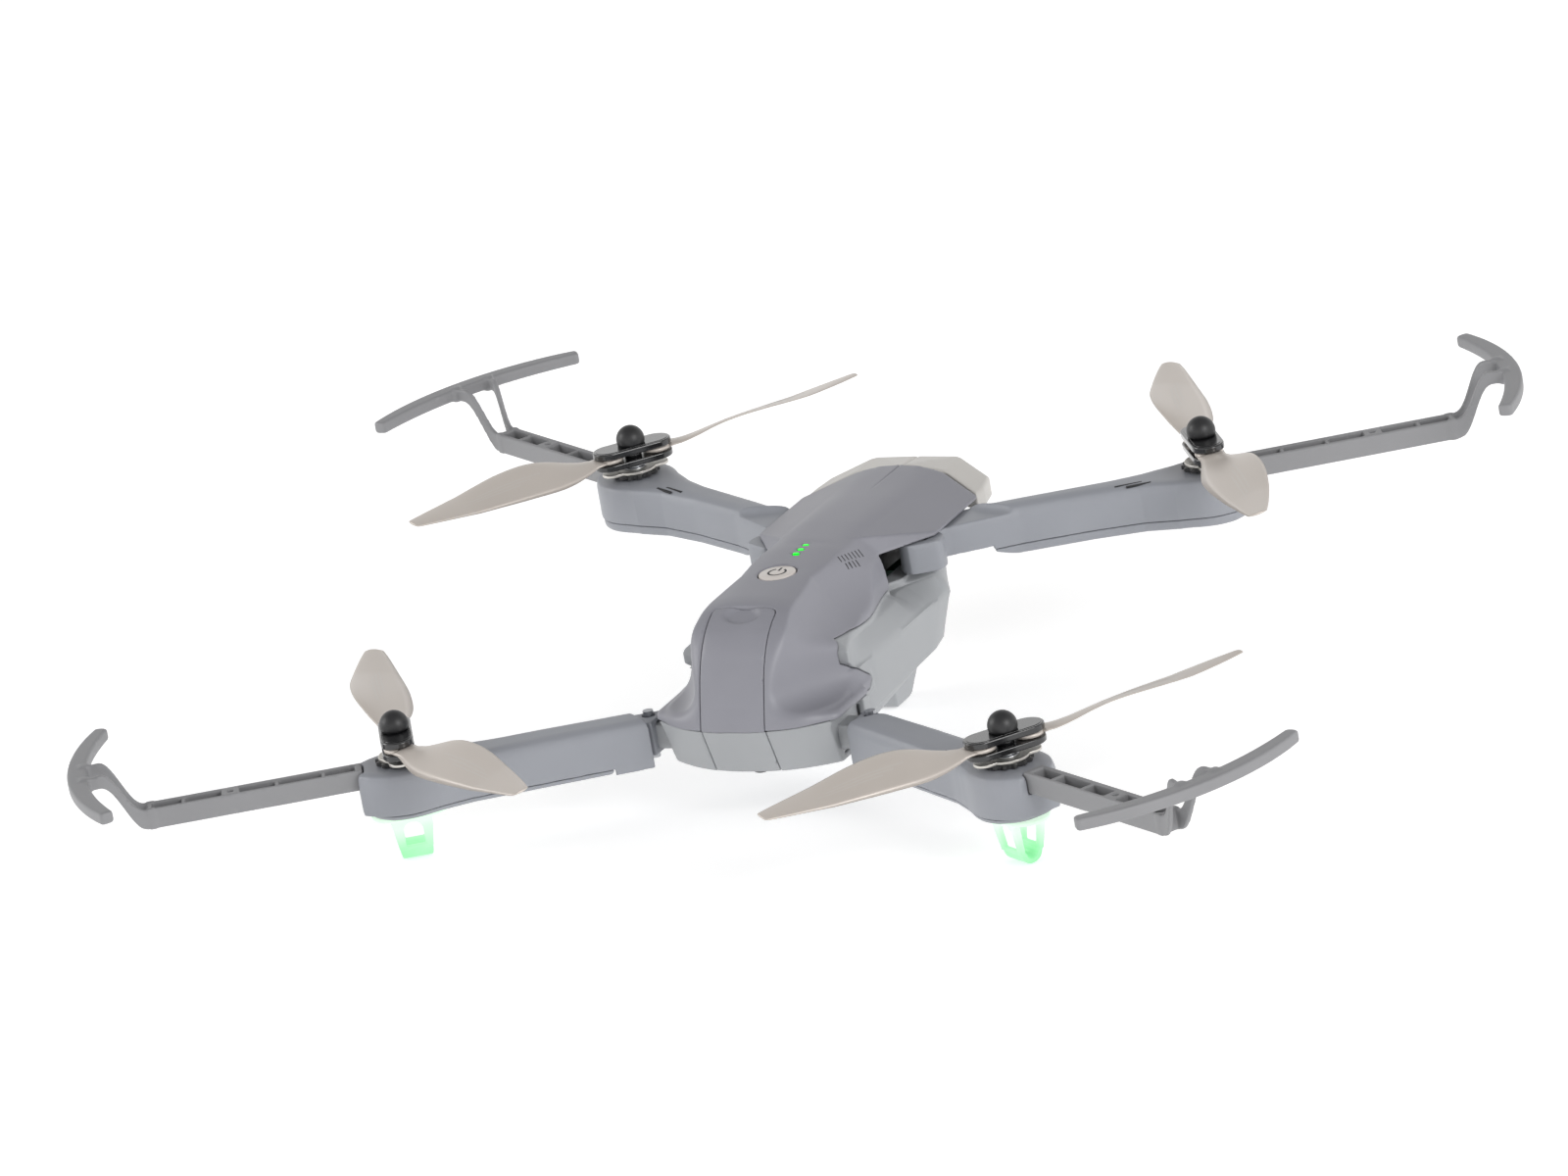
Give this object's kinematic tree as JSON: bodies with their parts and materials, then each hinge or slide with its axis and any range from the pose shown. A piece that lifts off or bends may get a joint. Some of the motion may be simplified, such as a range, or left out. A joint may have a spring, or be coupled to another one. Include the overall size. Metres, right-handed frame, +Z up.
{
  "type": "folding quadcopter drone",
  "caption": "Compact camera drone with folding arms, folding two-blade propellers, open propeller guards, a tilting nose camera and a slide-out battery.",
  "frame": {"origin": "on the ground, under the middle of the drone with its arms unfolded", "axes": "+Y points out of the nose, +X to the right of the drone, +Z up"},
  "size_m": [0.363, 0.3029, 0.0694],
  "materials": {
    "cover_grey": "fine satin texture, dark grey with a purple cast",
    "shell_grey": "satin blue-grey moulded plastic",
    "hood_silver": "pale silver satin plastic",
    "arm_grey": "satin blue-grey moulded plastic",
    "guard_grey": "mid grey moulded plastic",
    "blade_grey": "warm light grey, slightly glossy, flexible",
    "hub_gloss": "glossy black",
    "cap_soft": "matte black rubbery dome",
    "rotor_metal": "turned light metal",
    "motor_steel": "brushed",
    "leg_glow": "milky translucent plastic lit green from inside",
    "green_light": "lit green light pipe",
    "button_silver": "pale metallic paint with a dark power symbol",
    "black_plastic": "black moulded plastic",
    "lens_glass": "dark coated lens",
    "circuit_board": "green board with black chips",
    "contact_metal": "gold plated contact block"
  },
  "bodies": {
    "body": {"lower_shell": "shell_grey", "top_cover": "cover_grey", "front_hood": "hood_silver", "main_circuit_board": "circuit_board", "battery_level_lights": "green_light", "optical_flow_lens": "black_plastic", "camera_bracket": "black_plastic", "rear_right_hinge_pin": "motor_steel", "rear_left_hinge_pin": "motor_steel", "front_right_hinge_pin": "motor_steel", "front_left_hinge_pin": "motor_steel"},
    "battery": {"battery_case": "cover_grey", "battery_cell": "black_plastic", "battery_contacts": "contact_metal"},
    "power_button": {"power_button": "button_silver"},
    "camera": {"camera_pod": "black_plastic", "camera_lens": "lens_glass"},
    "rear_right_arm": {"rear_right_arm_shell": "arm_grey", "rear_right_arm_bottom_cover": "arm_grey", "rear_right_motor": "motor_steel", "rear_right_guard": "guard_grey", "rear_right_leg": "leg_glow"},
    "rear_right_propeller": {"rear_right_rotor_plate": "rotor_metal", "rear_right_hub_lower": "hub_gloss", "rear_right_hub_upper": "hub_gloss", "rear_right_cap": "cap_soft"},
    "rear_right_blade_a": {"rear_right_blade_a": "blade_grey"},
    "rear_right_blade_b": {"rear_right_blade_b": "blade_grey"},
    "rear_left_arm": {"rear_left_arm_shell": "arm_grey", "rear_left_arm_bottom_cover": "arm_grey", "rear_left_motor": "motor_steel", "rear_left_guard": "guard_grey", "rear_left_leg": "leg_glow"},
    "rear_left_propeller": {"rear_left_rotor_plate": "rotor_metal", "rear_left_hub_lower": "hub_gloss", "rear_left_hub_upper": "hub_gloss", "rear_left_cap": "cap_soft"},
    "rear_left_blade_a": {"rear_left_blade_a": "blade_grey"},
    "rear_left_blade_b": {"rear_left_blade_b": "blade_grey"},
    "front_right_arm": {"front_right_arm_shell": "arm_grey", "front_right_arm_bottom_cover": "arm_grey", "front_right_motor": "motor_steel", "front_right_guard": "guard_grey"},
    "front_right_propeller": {"front_right_rotor_plate": "rotor_metal", "front_right_hub_lower": "hub_gloss", "front_right_hub_upper": "hub_gloss", "front_right_cap": "cap_soft"},
    "front_right_blade_a": {"front_right_blade_a": "blade_grey"},
    "front_right_blade_b": {"front_right_blade_b": "blade_grey"},
    "front_left_arm": {"front_left_arm_shell": "arm_grey", "front_left_arm_bottom_cover": "arm_grey", "front_left_motor": "motor_steel", "front_left_guard": "guard_grey"},
    "front_left_propeller": {"front_left_rotor_plate": "rotor_metal", "front_left_hub_lower": "hub_gloss", "front_left_hub_upper": "hub_gloss", "front_left_cap": "cap_soft"},
    "front_left_blade_a": {"front_left_blade_a": "blade_grey"},
    "front_left_blade_b": {"front_left_blade_b": "blade_grey"}
  },
  "joints": [
    {"name": "battery_slide", "type": "slide", "parent": "body", "child": "battery", "axis": [0, -1, 0], "range_m": [0, 0.06]},
    {"name": "power_button_press", "type": "slide", "parent": "body", "child": "power_button", "axis": [0, 0, -1], "range_m": [0, 0.0008], "stiffness_N_per_m": 900, "springref_m": -0.0004},
    {"name": "camera_tilt", "type": "hinge", "parent": "body", "child": "camera", "pos_m": [0, 0.05755, 0.0387], "axis": [-1, 0, 0], "range_deg": [-10, 90]},
    {"name": "rear_right_arm_fold", "type": "hinge", "parent": "body", "child": "rear_right_arm", "pos_m": [0.034, -0.04045, 0.0387], "axis": [0, 0, 1], "range_deg": [0, 110]},
    {"name": "rear_right_propeller_spin", "type": "hinge", "parent": "rear_right_arm", "child": "rear_right_propeller", "pos_m": [0.092, -0.07845, 0.0387], "axis": [0, 0, 1], "continuous": true},
    {"name": "rear_right_blade_a_fold", "type": "hinge", "parent": "rear_right_propeller", "child": "rear_right_blade_a", "pos_m": [0.09653, -0.07286, 0.03445], "axis": [0, 0, 1], "range_deg": [-72, 0]},
    {"name": "rear_right_blade_b_fold", "type": "hinge", "parent": "rear_right_propeller", "child": "rear_right_blade_b", "pos_m": [0.08747, -0.08405, 0.03445], "axis": [0, 0, 1], "range_deg": [0, 95]},
    {"name": "rear_left_arm_fold", "type": "hinge", "parent": "body", "child": "rear_left_arm", "pos_m": [-0.034, -0.04045, 0.0387], "axis": [0, 0, -1], "range_deg": [0, 110]},
    {"name": "rear_left_propeller_spin", "type": "hinge", "parent": "rear_left_arm", "child": "rear_left_propeller", "pos_m": [-0.092, -0.07845, 0.0387], "axis": [0, 0, 1], "continuous": true},
    {"name": "rear_left_blade_a_fold", "type": "hinge", "parent": "rear_left_propeller", "child": "rear_left_blade_a", "pos_m": [-0.0956, -0.07222, 0.03445], "axis": [0, 0, -1], "range_deg": [-75, 0]},
    {"name": "rear_left_blade_b_fold", "type": "hinge", "parent": "rear_left_propeller", "child": "rear_left_blade_b", "pos_m": [-0.0884, -0.08469, 0.03445], "axis": [0, 0, -1], "range_deg": [0, 116]},
    {"name": "front_right_arm_fold", "type": "hinge", "parent": "body", "child": "front_right_arm", "pos_m": [0.0233, 0.02755, 0.0484], "axis": [0, 0, -1], "range_deg": [0, 110]},
    {"name": "front_right_propeller_spin", "type": "hinge", "parent": "front_right_arm", "child": "front_right_propeller", "pos_m": [0.0895, 0.07855, 0.0652], "axis": [0, 0, 1], "continuous": true},
    {"name": "front_right_blade_a_fold", "type": "hinge", "parent": "front_right_propeller", "child": "front_right_blade_a", "pos_m": [0.08537, 0.08444, 0.06095], "axis": [0, 0, -1], "range_deg": [0, 92]},
    {"name": "front_right_blade_b_fold", "type": "hinge", "parent": "front_right_propeller", "child": "front_right_blade_b", "pos_m": [0.09363, 0.07265, 0.06095], "axis": [0, 0, -1], "range_deg": [-69, 0]},
    {"name": "front_left_arm_fold", "type": "hinge", "parent": "body", "child": "front_left_arm", "pos_m": [-0.0233, 0.02755, 0.0484], "axis": [0, 0, 1], "range_deg": [0, 110]},
    {"name": "front_left_propeller_spin", "type": "hinge", "parent": "front_left_arm", "child": "front_left_propeller", "pos_m": [-0.0895, 0.07855, 0.0652], "axis": [0, 0, 1], "continuous": true},
    {"name": "front_left_blade_a_fold", "type": "hinge", "parent": "front_left_propeller", "child": "front_left_blade_a", "pos_m": [-0.0845, 0.08372, 0.06095], "axis": [0, 0, 1], "range_deg": [0, 98]},
    {"name": "front_left_blade_b_fold", "type": "hinge", "parent": "front_left_propeller", "child": "front_left_blade_b", "pos_m": [-0.0945, 0.07337, 0.06095], "axis": [0, 0, 1], "range_deg": [-72, 0]}
  ],
  "couplings": [
    {"joint": "rear_right_blade_a_fold", "follows": "rear_right_arm_fold", "ratio": -0.654},
    {"joint": "rear_right_blade_b_fold", "follows": "rear_right_arm_fold", "ratio": 0.863},
    {"joint": "rear_left_blade_a_fold", "follows": "rear_left_arm_fold", "ratio": -0.681},
    {"joint": "rear_left_blade_b_fold", "follows": "rear_left_arm_fold", "ratio": 1.054},
    {"joint": "front_right_blade_a_fold", "follows": "front_right_arm_fold", "ratio": 0.836},
    {"joint": "front_right_blade_b_fold", "follows": "front_right_arm_fold", "ratio": -0.627},
    {"joint": "front_left_blade_a_fold", "follows": "front_left_arm_fold", "ratio": 0.89},
    {"joint": "front_left_blade_b_fold", "follows": "front_left_arm_fold", "ratio": -0.654}
  ]
}
